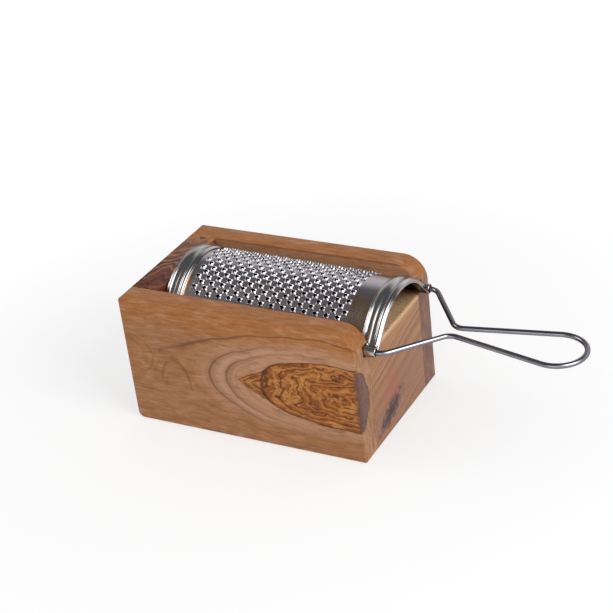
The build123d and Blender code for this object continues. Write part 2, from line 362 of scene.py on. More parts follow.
def front_board_wood():
    """The front board: grain that flows round one big eye and two small knots, with a
    golden burl inside the eye that runs out at the right end."""
    wood = bpy.context.scene.nutmeg_wood
    recipe = material("olive_front")
    x, y, z, vector = recipe.place()
    depth = y + 32.0
    warp = recipe.noise(vector, 26.0) - 0.5
    ripple = recipe.noise(recipe.scaled(vector, (0.5, 1.0, 1.0)), 6.0) - 0.5
    level = z + depth * 0.8 + warp * 5.0 + ripple * 1.3
    along = x + warp * 4.0

    u = (along - 34.0) / 54.0
    v = (level - 26.5) / 21.5
    radius = (u * u + v * v) ** 0.5
    outside = radius.math("MAXIMUM", 1.0)
    ring = radius.math("MINIMUM", 1.0) + abs(v) * (1 - 1 / (outside * outside)) * 0.5
    knot = oval(recipe, x, level, -48.5, 30.5, 10.5, 8.5)
    loop = oval(recipe, x, level, -29.0, 20.5, 6.2, 9.5)
    ring = ring + recipe.step(knot, 1.5, 0.0) * 0.42 + recipe.step(loop, 1.5, 0.0) * recipe.step(level, 8.0, 22.0) * 0.16

    inner = recipe.step(ring, 1.12, 0.80) * recipe.step(x, -36.0, -8.0) * recipe.step(z, 6.0, 14.0)
    tone = recipe.mix(inner, wood.tan, wood.pale)
    tone = recipe.mix(recipe.step(z + depth * 0.5 + warp * 8.0, 40.0, 50.0) * 0.85, tone, wood.orange)
    tone = recipe.mix(recipe.step(knot, 1.5, 0.6) * 0.45, tone, wood.orange)
    tone, relief = olive_board(recipe, wood, vector, ring, tone, 0.04, 0.8)

    uneven = recipe.noise(vector, 9.0) * 1.2 + 0.3
    leftwards = recipe.step(x, 30.0, -10.0) * 0.7 + 0.3
    drawn = recipe.hump(ring, 0.745, 0.014) * leftwards * 0.55 + recipe.hump(ring, 0.875, 0.014) * leftwards * 0.7
    drawn = drawn + recipe.hump(ring, 1.075, 0.016) * recipe.step(level, 30.0, 40.0) * 0.8
    arch = recipe.hump(loop, 1.0, 0.13) * recipe.step(level, 17.0, 24.0)
    drawn = drawn + recipe.hump(knot, 1.0, 0.07) * 0.40 + recipe.hump(knot, 0.72, 0.10) * 0.22 + arch * 0.55
    halo = (recipe.hump(ring, 0.86, 0.07) + recipe.hump(ring, 0.73, 0.07)) * leftwards * 0.36
    halo = halo + recipe.hump(ring, 1.09, 0.04) * recipe.step(level, 30.0, 40.0) * 0.22
    tone = recipe.mix((drawn * uneven + halo).math("MINIMUM", 0.75), tone, wood.line)

    tone = burl(recipe, wood, x, level - warp * 3.0, vector, tone)
    tone = end_streak(recipe, wood, x, y, z, vector, tone)
    # Painted shade inside the box, below the grooves.
    tone = painted_cavity_shade(recipe, wood, z, tone, recipe.step(y, -22.4, -22.1) * recipe.step(x, 37.5, 36.0))
    return recipe.finish(wood_shader(recipe, tone, relief * 0.16 + 0.44, relief))


def oval(recipe, x, z, centre_x, centre_z, half_x, half_z):
    """Distance from the middle of an oval, 1 on its line."""
    across = (x - centre_x) / half_x
    upwards = (z - centre_z) / half_z
    return (across * across + upwards * upwards) ** 0.5


def burl(recipe, wood, x, level, vector, tone):
    """The burl inside the eye: a round-nosed body with dark wavy contours on gold, lacy
    towards the right, and a pointed lens before its nose."""
    flat = recipe.scaled(vector, (0.55, 1.0, 1.0))
    sway = recipe.noise(flat, 7.0) - 0.5
    lace = recipe.noise(flat, 4.6, detail=2.0, roughness=0.5, distortion=0.5) - 0.5
    crumb = recipe.noise(flat, 1.1, detail=2.0) - 0.5
    flame = recipe.noise(flat, 2.6, detail=3.0, roughness=0.6, distortion=0.8)
    height = abs(level - 27.0 + sway * 1.5) / 13.5
    to_right = ((50.5 - x) / 41.5).math("MAXIMUM", 0.0) + sway * 0.08
    body = (to_right.math("MAXIMUM", 0.0) ** 2.6 + height**2.6) ** (1 / 2.6)
    nose = ((50.0 - x) / 50.5).math("MAXIMUM", 0.0) ** 2.6 + height * 1.05
    in_body = recipe.step(body, 1.006, 0.994)
    in_nose = recipe.step(nose, 1.01, 0.985)

    wild = recipe.step(x, 18.0, 36.0) * recipe.step(level, 14.0, 20.0)
    contour = body * 6.5 + sway * 2.0 + lace * (wild * 2.4 + 1.0) + crumb * 0.35
    contour = contour * in_body + (nose * 6.0 + lace) * (1 - in_body)
    saw = contour.math("FRACT")
    width = recipe.noise(flat, 4.5) * 0.16 + 0.02
    line = recipe.step(abs(saw - 0.5) / width, 1.0, 0.35)
    minor = recipe.hump((contour * 3.0 + 0.25).math("FRACT"), 0.5, 0.22) * recipe.step(sway + crumb * 0.5, -0.1, 0.1)
    fill = recipe.mix(recipe.step(saw, 0.55, 1.0) * 0.7, wood.amber, wood.gold)
    fill = recipe.mix(recipe.step(flame, 0.48, 0.66) * 0.85, fill, wood.gold)
    fill = recipe.mix(recipe.step(flame, 0.42, 0.28) * 0.40, fill, wood.ink)
    fill = recipe.mix(minor * 0.42, fill, wood.ink)
    fill = recipe.mix(line * 0.82, fill, wood.ink)
    fill = recipe.mix(recipe.step(x + crumb * 4.0, 46.5, 50.0) * 0.45, fill, wood.ink)

    stain = recipe.hump(body, 1.02, 0.09) * recipe.step(crumb + sway * 0.5, -0.02, 0.16) * recipe.step(level, 27.0, 20.0)
    tone = recipe.mix(stain * 0.45, tone, wood.plum)
    tone = recipe.mix(recipe.hump(nose, 1.05, 0.12) * recipe.step(x, 9.0, 2.0) * 0.5, tone, wood.orange)
    tone = recipe.mix((in_body + in_nose).math("MINIMUM", 1.0), tone, fill)
    outline = recipe.hump(body, 1.0, 0.03) + recipe.hump(nose, 1.0, 0.035) * (1 - in_body)
    return recipe.mix((outline * (crumb * 1.2 + 0.85)).math("MINIMUM", 0.9), tone, wood.ink)


def end_streak(recipe, wood, x, y, z, vector, tone):
    """The burl's stain on the board's end: a crescent of plum along the outer edge."""
    wobble = recipe.noise(vector, 5.0) - 0.5
    lift = (z - 26.5) / 13.0
    edge = y + 25.2 + lift * lift * 6.4 + wobble * 2.0
    within = recipe.step(abs(lift), 1.02, 0.92) * recipe.step(x, 49.0, 49.6)
    crescent = recipe.step(edge, 0.5, -0.8) * within
    rim = recipe.hump(edge, 0.0, 0.6) * within
    tone = end_grain(recipe, wood, x, vector, tone, wood.tan)
    mottle = recipe.step(recipe.noise(vector, 1.6, detail=3.0), 0.38, 0.60)
    tone = recipe.mix(crescent * (mottle * 0.45 + 0.5), tone, wood.plum)
    dark = crescent * recipe.step(mottle, 0.35, 0.0) * 0.55 + rim * 0.75
    tone = recipe.mix(dark.math("MINIMUM", 0.8), tone, wood.soot)
    margin = recipe.step(x + wobble * 1.6, 47.6, 49.4) * recipe.step(abs(lift), 1.0, 0.92) * recipe.step(x, 49.9, 49.5)
    return recipe.mix(margin * 0.65, tone, wood.plum)


def end_grain(recipe, wood, x, vector, tone, plain):
    """The sawn end of a board: short upright flecks and fine pores."""
    on_end = recipe.step(abs(x), 49.2, 49.7)
    flecks = recipe.noise(recipe.scaled(vector, (1.0, 1.0, 0.2)), 1.1, detail=3.0)
    cut = recipe.mix(recipe.step(flecks, 0.35, 0.70), plain, wood.pale)
    cut = recipe.mix(recipe.step(flecks, 0.46, 0.28) * 0.35, cut, wood.line)
    return recipe.mix(on_end * 0.75, tone, cut)


def back_board_wood():
    """The back board: straight orange grain, with a dark line along its inner top edge."""
    wood = bpy.context.scene.nutmeg_wood
    recipe = material("olive_back")
    x, y, z, vector = recipe.place()
    warp = recipe.noise(recipe.scaled(vector, (0.6, 1.0, 1.0)), 18.0) - 0.5
    ripple = recipe.noise(recipe.scaled(vector, (0.3, 1.0, 1.0)), 4.0) - 0.5
    ring = y * 0.55 + z * 0.35 + warp * 16.0 + ripple * 1.6
    inside = recipe.step(y, 22.5, 22.1) * recipe.step(z, 53.6, 53.2)
    tone = recipe.mix(recipe.step(ripple, -0.2, 0.2) * 0.6, wood.orange, wood.tan)
    tone = recipe.mix(inside * 0.75, tone, wood.pale)
    tone, relief = olive_board(recipe, wood, vector, ring, tone, 0.7)
    spread = recipe.noise(recipe.scaled(vector, (0.12, 1.0, 1.0)), 1.6) * 1.3 + 0.35
    seam = recipe.hump(y, 22.35, 0.55) * recipe.step(z, 53.0, 53.5) * recipe.step(x, -42.0, -36.0)
    tone = recipe.mix(seam * spread, tone, wood.line)
    # Painted shade inside the box, below the grooves.
    tone = painted_cavity_shade(recipe, wood, z, tone, recipe.step(y, 22.4, 22.1) * recipe.step(x, 37.5, 36.0))
    tone = end_grain(recipe, wood, x, vector, tone, wood.clay)
    shade = recipe.step(x, 49.2, 49.7) * (recipe.step(z + warp * 8.0, 50.0, 34.0) * 0.6 + 0.25)
    tone = recipe.mix(shade * (ripple + 0.7), tone, wood.plum)
    return recipe.finish(wood_shader(recipe, tone, relief * 0.16 + 0.44, relief))


def heartwood():
    """The left block: dark heartwood with lighter swirls across the box."""
    wood = bpy.context.scene.nutmeg_wood
    recipe = material("olive_heartwood")
    x, y, z, vector = recipe.place()
    warp = recipe.noise(recipe.scaled(vector, (1.0, 0.45, 1.0)), 9.0, distortion=0.8) - 0.5
    ring = y * 0.65 - x * 0.5 + z * 0.8 + warp * 14.0
    fibres, pores = fine_grain(recipe, vector, (0.25, 0.6, 1.0))
    broad = recipe.lines(ring, 2.4)
    thin = recipe.lines(ring, 0.5)
    swirls = recipe.hump(y + warp * 16.0, 0.0, 16.0) * 0.75 + 0.25
    tone = recipe.mix(recipe.step(broad, 0.48, 0.60) * swirls, wood.heart, wood.ember)
    tone = recipe.mix(recipe.step(fibres, 0.52, 0.75) * 0.35, tone, wood.ember)
    tone = recipe.mix(recipe.step(thin, 0.50, 0.32) * 0.75, tone, wood.soot)
    tone = recipe.mix(recipe.step(broad, 0.42, 0.30) * 0.8, tone, wood.soot)
    orange = recipe.step(y + warp * 14.0, 6.0, 17.0) * recipe.step(broad, 0.42, 0.55)
    tone = recipe.mix(orange * 0.75, tone, wood.orange)
    tone = recipe.mix(recipe.step(fibres, 0.45, 0.15) * 0.4 + pores * 0.2, tone, wood.soot)
    glue = recipe.step(y, -21.2, -21.7) * recipe.step(recipe.noise(vector, 1.3), 0.46, 0.56)
    tone = recipe.mix(glue * 0.9, tone, wood.soot)
    # A small bright orange spot on the block's top by the back board.
    orange_spot = recipe.step(oval(recipe, x, y, -38.8, 20.0, 1.3, 2.3), 1.1, 0.7) * recipe.step(z, 53.0, 53.5)
    tone = recipe.mix(orange_spot * 0.9, tone, wood.orange)
    # Painted shade inside the box, below the grooves.
    tone = painted_cavity_shade(recipe, wood, z, tone, recipe.step(x, -38.4, -38.1))
    return recipe.finish(wood_shader(recipe, tone, fibres * 0.16 + 0.40, fibres * 0.6 + thin * 0.4))


def right_block_wood():
    """The right block: straight grain across the box, a rosy lower half and a dark knot."""
    wood = bpy.context.scene.nutmeg_wood
    recipe = material("olive_right_block")
    x, y, z, vector = recipe.place()
    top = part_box("right_end_block")[1].z / MM
    warp = recipe.noise(recipe.scaled(vector, (1.0, 0.3, 1.0)), 12.0) - 0.5
    ring = z + x * 0.5 - y * 0.22 + warp * 4.0
    fibres, pores = fine_grain(recipe, vector, (1.0, 0.05, 1.0))
    broad = recipe.lines(ring, 3.2)
    thin = recipe.lines(ring, 0.40, detail=3.0)
    tone = recipe.mix(recipe.step(broad, 0.30, 0.70), wood.clay, wood.straw)
    tone = recipe.mix(recipe.step(z + warp * 10.0, 32.0, 20.0) * 0.6, tone, wood.clay)
    tone = recipe.mix(recipe.step(z, 36.0, 40.0) * 0.4, tone, wood.straw)
    tone = recipe.mix(recipe.step(thin, 0.50, 0.32) * 0.30, tone, wood.line)
    tone = recipe.mix(recipe.step(thin, 0.56, 0.75) * 0.40, tone, wood.pale_grain_and_painted_light)
    tone = recipe.mix(recipe.step(fibres, 0.48, 0.20) * 0.30, tone, wood.line)
    # Painted light: the block's top and a band just under its top edge are lightened with the sawn top colour.
    tone = recipe.mix(recipe.step(z, top - 2.6, top - 0.1) * 0.75, tone, wood.pale_grain_and_painted_light)
    fray = recipe.noise(vector, 2.5, detail=3.0) * 0.9 - 0.45
    blush = oval(recipe, y + warp * 8.0, z, -6.0, 17.0, 9.0, 9.0) + fray
    tone = recipe.mix(recipe.step(blush, 1.1, 0.3) * 0.55, tone, wood.blush)
    knot = oval(recipe, y + warp * 8.0, z - (y + 9.0) * 0.3, -9.0, 9.0, 12.0, 4.6) + fray * 2.0
    tone = recipe.mix(recipe.step(knot, 1.15, 0.65) * 0.8, tone, wood.plum)
    tone = recipe.mix(recipe.step(knot, 0.80, 0.2) * 0.75, tone, wood.soot)
    pits = recipe.step(recipe.noise(vector, 0.9, detail=1.0), 0.36, 0.30) * recipe.step(z, top - 0.4, top - 0.1)
    tone = recipe.mix(pits * 0.8, tone, wood.ink)
    tone = recipe.mix(pores * 0.15, tone, wood.line)
    return recipe.finish(wood_shader(recipe, tone, fibres * 0.16 + 0.42, fibres * 0.6 + thin * 0.4))


def floor_board_wood():
    """The floor board: plain straight grain."""
    wood = bpy.context.scene.nutmeg_wood
    recipe = material("olive_floor")
    x, y, z, vector = recipe.place()
    warp = recipe.noise(recipe.scaled(vector, (0.4, 1.0, 1.0)), 14.0) - 0.5
    ring = y * 0.6 + z + warp * 6.0
    tone = recipe.mix(recipe.step(recipe.lines(ring, 3.0), 0.35, 0.65), wood.tan, wood.straw)
    tone, relief = olive_board(recipe, wood, vector, ring, tone, 0.8)
    # Painted shade inside the box, below the grooves.
    tone = painted_cavity_shade(recipe, wood, z, tone, recipe.step(z, 7.4, 7.8))
    return recipe.finish(wood_shader(recipe, tone, relief * 0.16 + 0.46, relief))


def steel(recipe, tone, roughness, relief, metallic=1.0):
    """Polished stainless steel; the grazing tint keeps its outlines dark."""
    sockets = {"Base Color": tone, "Metallic": metallic, "Roughness": roughness, "Normal": relief}
    sockets["Specular Tint"] = bpy.context.scene.nutmeg_steel.rim
    return recipe.add("ShaderNodeBsdfPrincipled", sockets=sockets)


def sheet_steel(section, sizes):
    """The sheet: a brownish painted reflection on its blank ends that fades towards the crown, bright torn metal with
    a painted highlight on the teeth, and painted shade in their holes and on its underside.
    """
    tones = bpy.context.scene.nutmeg_steel
    recipe = material("punched_steel")
    first = section.left + sizes.blank_left / MM - 1.4
    last = section.right - sizes.blank_right / MM + 1.4
    x, y, z, vector = recipe.place()
    cloud = recipe.noise(vector, 6.0, detail=3.0)
    scuff = recipe.noise(recipe.scaled(vector, (0.08, 1.0, 1.0)), 0.8, detail=3.0)
    field = recipe.step(x, first - 0.6, first) * recipe.step(x, last + 0.6, last)
    # Painted reflection: the blank ends take a brownish tone, in clouds, for the room that the steel mirrors.
    tone = recipe.mix(recipe.step(cloud, 0.35, 0.65) * 0.35, tones.painted_reflection_and_marks, tones.sheet)
    # The field of teeth is kept clear of the painted reflection.
    tone = recipe.mix(field * 0.8, tone, tones.sheet)
    # The painted reflection fades out towards the crown.
    tone = recipe.mix(recipe.step(z + cloud * 2.0, 56.4, 58.2) * 0.8, tone, tones.sheet)
    tooth = recipe.add("ShaderNodeAttribute", {"attribute_name": "tooth"}, output="Fac")
    # Above 0 the tooth attribute is a painted highlight: the petals turn whiter, a little less metallic and rougher.
    bright = tooth.math("MAXIMUM", 0.0)
    tone = recipe.mix(bright, tone, tones.tooth)
    # Below 0 the tooth attribute is painted shade: dark in the holes and on the underside.
    painted_shade = recipe.step(tooth, 0.0, -0.7)
    tone = recipe.mix(painted_shade, tone, tones.painted_shade)
    roughness = cloud * 0.08 + scuff * 0.08 + 0.14 + painted_shade * 0.35 + bright * 0.06
    return recipe.finish(steel(recipe, tone, roughness, recipe.bump(scuff, 0.01, 0.4), 1 - bright * 0.15))


def band_steel():
    """The bands: smooth, with faint cloudy brownish patches, partly handling marks and partly a painted reflection."""
    tones = bpy.context.scene.nutmeg_steel
    recipe = material("band_steel")
    x, y, z, vector = recipe.place()
    cloud = recipe.noise(vector, 4.0, detail=3.0)
    scuff = recipe.noise(recipe.scaled(vector, (1.0, 0.15, 0.15)), 0.5, detail=3.0)
    # Cloudy patches of the dull sheet colour: handling marks and painted reflection.
    tone = recipe.mix(recipe.step(cloud, 0.35, 0.7) * 0.4, tones.band, tones.painted_reflection_and_marks)
    return recipe.finish(steel(recipe, tone, cloud * 0.08 + scuff * 0.08 + 0.10, recipe.bump(scuff, 0.012, 0.04)))


def wire_steel():
    """The wire: drawn, with fine marks along it."""
    tones = bpy.context.scene.nutmeg_steel
    recipe = material("wire_steel")
    x, y, z, vector = recipe.place()
    scuff = recipe.noise(recipe.scaled(vector, (0.1, 0.6, 0.6)), 0.4, detail=3.0)
    cloud = recipe.noise(vector, 5.0)
    tone = recipe.mix(recipe.step(cloud, 0.35, 0.7) * 0.4, tones.wire, tones.rim)
    return recipe.finish(steel(recipe, tone, scuff * 0.14 + 0.14, recipe.bump(scuff, 0.01, 0.4)))


def dress_node(name, material, edge):
    """Gives a wooden piece of the frame its material and eases its edges."""
    node = frame["nodes"][name]
    node.data.materials.clear()
    node.data.materials.append(material)
    weld = node.modifiers.new("weld", "WELD")
    weld.merge_threshold = 0.002 * MM
    flatten = node.modifiers.new("flatten", "DECIMATE")
    flatten.decimate_type = "DISSOLVE"
    flatten.angle_limit = radians(1.0)
    ease = node.modifiers.new("ease", "BEVEL")
    ease.width = edge
    ease.segments = 3
    ease.limit_method = "ANGLE"
    ease.angle_limit = radians(28)
    ease.harden_normals = True
    for polygon in node.data.polygons:
        polygon.use_smooth = True


class Section:
    """The grater's section across the box: crown, flank and hem, in millimetres. A place
    on it is the distance from the crown, negative in front, and the height over the
    middle of the sheet. The grater is laid out level and leans into its grooves last."""

    def __init__(self, sizes):
        self.half_sheet = sizes.thickness / MM / 2
        self.hem = sizes.hem_bore / MM + self.half_sheet
        self.leaf_low = self.half_sheet + sizes.wrap_gap / MM
        self.leaf_high = self.leaf_low + sizes.thickness / MM
        self.wrap = self.hem + self.leaf_high
        self.left = (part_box("left_end_block")[1].x + sizes.end_gap) / MM
        self.right = (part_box("front_board")[1].x + sizes.overhang) / MM
        self.wire_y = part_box("left_end_band")[1].y / MM - self.wrap
        self.wire_z = (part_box("right_end_block")[1].z + sizes.slide_gap) / MM + self.wrap
        rise = sizes.rise / MM
        self.flank = sizes.flank / MM
        self.radius = (self.wire_y**2 + rise**2 - self.hem**2 - self.flank**2) / 2 / (rise + self.hem)
        self.centre_z = self.wire_z + rise - self.radius
        far = hypot(self.wire_y, self.wire_z - self.centre_z)
        self.half_angle = atan2(self.wire_y, self.wire_z - self.centre_z) - acos((self.radius + self.hem) / far)
        self.arch = self.radius * self.half_angle
        self.down = Vector((cos(self.half_angle), -sin(self.half_angle)))
        self.out = Vector((sin(self.half_angle), cos(self.half_angle)))

        joint = next(joint for joint in frame["joints"] if joint["name"] == "grater_slide")
        pivot = Vector((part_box("front_board")[1].x, 0, self.wire_z * MM))
        lean = Matrix.Rotation(asin(-joint["axis"][2]), 4, "Y")
        self.slope = Matrix.Translation(pivot) @ lean @ Matrix.Translation(-pivot)

    def point(self, distance, height):
        """Y and Z of a place on the section."""
        side = -1 if distance < 0 else 1
        away = abs(distance)
        if away <= self.arch:
            angle = away / self.radius
            spot = Vector((sin(angle), cos(angle))) * (self.radius + height) + Vector((0, self.centre_z))
        elif away <= self.arch + self.flank:
            foot = Vector((0, self.centre_z)) + self.out * self.radius
            spot = foot + self.down * (away - self.arch) + self.out * height
        else:
            turn = (away - self.arch - self.flank) / self.hem
            arm = self.down * sin(turn) - self.out * cos(turn)
            spot = Vector((self.wire_y, self.wire_z)) + arm * (self.hem - height)
        return side * spot.x, spot.y

    def spot(self, x, distance, height):
        """The place as a point in metres, leaning with the grooves."""
        y, z = self.point(distance, height)
        return self.slope @ (Vector((x, y, z)) * MM)


class Skin:
    """Collects the points and faces of one mesh."""

    def __init__(self):
        self.points = []
        self.faces = []
        self.tooth = []

    def point(self, where, tooth=0.0):
        self.points.append(where)
        self.tooth.append(tooth)
        return len(self.points) - 1

    def strip(self, first, second, closed=True):
        """Quads between two rows of points of the same length."""
        count = len(first)
        for k in range(count if closed else count - 1):
            following = (k + 1) % count
            self.faces.append((first[k], first[following], second[following], second[k]))

    def build(self, name, material, sharp_angle):
        """The mesh as an object, smooth apart from edges over the angle."""
        mesh = bpy.data.meshes.new(name)
        mesh.from_pydata(self.points, [], self.faces)
        mesh.validate()
        # The tooth attribute holds painted light for the sheet: highlight above 0 on the petals, shade below 0 in the
        # holes and on the underside.
        layer = mesh.attributes.new("tooth", "FLOAT", "POINT")
        layer.data.foreach_set("value", self.tooth)
        mesh.shade_smooth()
        mesh.set_sharp_from_angle(angle=sharp_angle)
        mesh.materials.append(material)
        piece = bpy.data.objects.new(name, mesh)
        bpy.context.scene.collection.objects.link(piece)
        return piece


TILE = 4


def tile_border():
    """Steps round one tile of the sheet, counted from its corner, anticlockwise."""
    steps = [(k, 0) for k in range(TILE)]
    steps += [(TILE, k) for k in range(TILE)]
    steps += [(TILE - k, TILE) for k in range(TILE)]
    steps += [(0, TILE - k) for k in range(TILE)]
    return steps


def tooth_rings(border, sizes, half_sheet, random):
    """Rings of one tooth from the sheet up over its four torn petals and down through the hole, each with its painted
    light: up to 1 for a painted highlight on the petals, down to -1 for painted shade in the hole. A ring lists (x,
    distance, height) from the middle."""
    foot = sizes.tooth_foot / MM
    mouth = sizes.tooth_mouth / MM
    tall = sizes.tooth_height / MM
    tear = 0.28
    twist = random.uniform(-0.12, 0.12)
    tips = [tall * random.uniform(0.80, 1.0) for petal in range(4)]
    lean = (random.uniform(-0.05, 0.05), random.uniform(-0.05, 0.05))
    rings = [(bright, []) for bright in (0.0, 0.5, 1.0, 1.0, -0.5, -1.0, -1.0, -1.0)]
    for column, row in border:
        angle = atan2(row - TILE / 2, column - TILE / 2) + twist
        quarter = (angle - twist) % (pi / 2) / (pi / 2)
        petal = 1 - abs(2 * quarter - 1)
        tip = tips[int((angle - twist) % (2 * pi) // (pi / 2)) % 4]
        top = tear + (tip - tear) * petal
        base = foot * (0.70 + 0.30 * petal)
        rim = mouth * (1.15 - 0.20 * petal)
        levels = [
            (base, 0.0),
            (rim + (base - rim) * 0.72, 0.10 + 0.10 * petal),
            (rim + (base - rim) * 0.34, 0.18 + (top - tear) * 0.55),
            (rim, top),
            (rim - 0.07, top - 0.05),
            (rim - 0.10, 0.08 + (top - tear) * 0.4),
            (rim - 0.06, -half_sheet),
            (rim - 0.02, -2 * half_sheet),
        ]
        for (bright, ring), (away, height) in zip(rings, levels):
            rise = max(height, 0.0)
            ring.append((away * cos(angle) + lean[0] * rise, away * sin(angle) + lean[1] * rise, height))
    return rings


def evenly(start, end, steps):
    """Numbers from start to just before end, in even steps."""
    return [start + (end - start) * k / steps for k in range(steps)]


def punched_sheet(section, sizes):
    """The whole sheet as one closed skin: blank ends, teeth, flanks and rolled hems."""
    skin = Skin()
    random = Random(11)
    fold = section.leaf_high - section.half_sheet
    left = section.left + fold
    right = section.right - fold
    first = section.left + sizes.blank_left / MM
    last = section.right - sizes.blank_right / MM
    pitch = (last - first) / (sizes.columns - 1)
    row_pitch = 2 * section.arch / sizes.rows

    margin = evenly(left, first - pitch / 2, 3)
    field = evenly(first - pitch / 2, last + pitch / 2, sizes.columns * TILE)
    across = margin + field + evenly(last + pitch / 2, right, 4) + [right]
    knee = section.arch + section.flank
    outwards = evenly(section.arch, knee, 3)[1:] + evenly(knee, knee + section.hem * sizes.hem_turn, 22)
    outwards.append(knee + section.hem * sizes.hem_turn)
    upper = evenly(-section.arch, section.arch, sizes.rows * TILE) + [section.arch]
    around = [-away for away in reversed(outwards)] + upper + outwards

    height = section.half_sheet
    outer = [[skin.point(section.spot(x, s, height)) for s in around] for x in across]
    # The underside is marked -0.8, so it takes the painted shade colour.
    inner = [[skin.point(section.spot(x, s, -height), -0.8) for s in around] for x in across]

    punched = set()
    border = tile_border()
    for row in range(sizes.rows):
        for column in range(sizes.columns):
            if (row + column) % 2 == 1:
                a = len(margin) + column * TILE
                b = len(outwards) + row * TILE
                punched.update((a + i, b + j) for i in range(TILE) for j in range(TILE))
                x = first + column * pitch
                s = (row + 0.5) * row_pitch - section.arch
                previous = [outer[a + i][b + j] for i, j in border]
                for bright, ring in tooth_rings(border, sizes, height, random):
                    following = [
                        skin.point(section.spot(x + dx, s + ds, height + rise), bright) for dx, ds, rise in ring
                    ]
                    skin.strip(previous, following)
                    previous = following
                skin.strip(previous, [inner[a + i][b + j] for i, j in border])

    for a in range(len(across) - 1):
        for b in range(len(around) - 1):
            if (a, b) not in punched:
                skin.faces.append((outer[a][b], outer[a + 1][b], outer[a + 1][b + 1], outer[a][b + 1]))
                skin.faces.append((inner[a][b], inner[a][b + 1], inner[a + 1][b + 1], inner[a + 1][b]))
    skin.strip(inner[0], outer[0], closed=False)
    skin.strip(outer[-1], inner[-1], closed=False)
    skin.strip([row[0] for row in outer], [row[0] for row in inner], closed=False)
    skin.strip([row[-1] for row in inner], [row[-1] for row in outer], closed=False)
    return skin


def ridge_height(x, sizes):
    """Height of the two ridges over the band's leaf, by the distance from its left edge."""
    ridges = (
        (sizes.broad_centre, sizes.broad_ridge, sizes.broad_height),
        (sizes.slim_centre, sizes.slim_ridge, sizes.slim_height),
    )
    total = 0.0
    for centre, wide, high in ridges:
        share = abs(x - centre / MM) / (wide / MM / 2)
        if share < 1:
            total += high / MM * (1 - share**2) ** 1.2
    return total


def band_profile(section, sizes, width, fold_side):
    """The band's closed section as (x, height, ridge height): leaf, fold and inner lip."""
    low, high = section.leaf_low, section.leaf_high
    lip = sizes.lip / MM
    thick = sizes.thickness / MM
    steps = 44
    ease = 0.12
    top = [(x, high, ridge_height(x if fold_side > 0 else width - x, sizes)) for x in evenly(0, width, steps)[1:]]
    points = [(0.0, low + ease, 0), (0.0, high - ease, 0)] + top
    points += [(width - ease, high - 0.02, 0), (width, high - ease, 0), (width, -high + ease, 0)]
    points += [(width - ease, -high, 0), (width - lip, -high, 0), (width - lip, -low, 0)]
    points += [(width - thick, -low, 0), (width - thick, low, 0), (ease, low, 0)]
    if fold_side > 0:
        return points
    return [(width - x, height, rib) for x, height, rib in reversed(points)]


def end_band(section, sizes, fold_side):
    """One ribbed band: the clasp over the arch, and a foot rolled round each hem."""
    skin = Skin()
    width = sizes.band_width / MM
    left = section.right - width if fold_side > 0 else section.left
    profile = band_profile(section, sizes, width, fold_side)
    knee = section.arch + section.flank
    leaf_end = knee - sqrt(section.wrap**2 - section.hem**2) + 0.25
    runout = 1.4
    rows = []
    for s in evenly(-leaf_end, leaf_end, 96) + [leaf_end]:
        fade = min(1.0, max(0.0, (leaf_end - 0.2 - abs(s)) / runout))
        fade = fade * fade * (3 - 2 * fade)
        rows.append([skin.point(section.spot(left + x, s, h + rib * fade)) for x, h, rib in profile])
    for first, second in zip(rows, rows[1:]):
        skin.strip(first, second)
    skin.faces.append(tuple(reversed(rows[0])))
    skin.faces.append(tuple(rows[-1]))

    start = knee - 2.2
    finish = knee + section.hem * (sizes.hem_turn + 0.1)
    middle = (section.leaf_low + section.leaf_high) / 2
    half = (section.leaf_high - section.leaf_low) / 2
    ease = 0.1
    ring = [
        (0.0, -half + ease), (0.0, half - ease), (ease, half), (width - ease, half),
        (width, half - ease), (width, -half + ease), (width - ease, -half), (ease, -half),
    ]
    for side in (-1, 1):
        rows = []
        for away in evenly(start, finish, 40) + [finish]:
            rows.append([skin.point(section.spot(left + x, side * away, h - middle)) for x, h in ring])
        for first, second in zip(rows, rows[1:]):
            skin.strip(*((first, second) if side > 0 else (second, first)))
        ends = (rows[0][::-1], rows[-1]) if side > 0 else (rows[0], rows[-1][::-1])
        skin.faces.extend(tuple(end) for end in ends)
    return skin


def rounded_path(corners, radii, steps=14):
    """A polyline whose inner corners are rounded with arcs."""
    path = [corners[0]]
    for before, corner, after, radius in zip(corners, corners[1:], corners[2:], radii):
        towards = (before - corner).normalized()
        away = (after - corner).normalized()
        half = towards.angle(away) / 2
        bisector = (towards + away).normalized()
        middle = corner + bisector * (radius / sin(half))
        start = corner + towards * (radius / tan(half)) - middle
        end = corner + away * (radius / tan(half)) - middle
        sweep = start.angle(end)
        for k in range(steps + 1):
            share = k / steps
            blend = start * (sin((1 - share) * sweep) / sin(sweep)) + end * (sin(share * sweep) / sin(sweep))
            path.append(middle + blend)
    path.append(corners[-1])
    return path


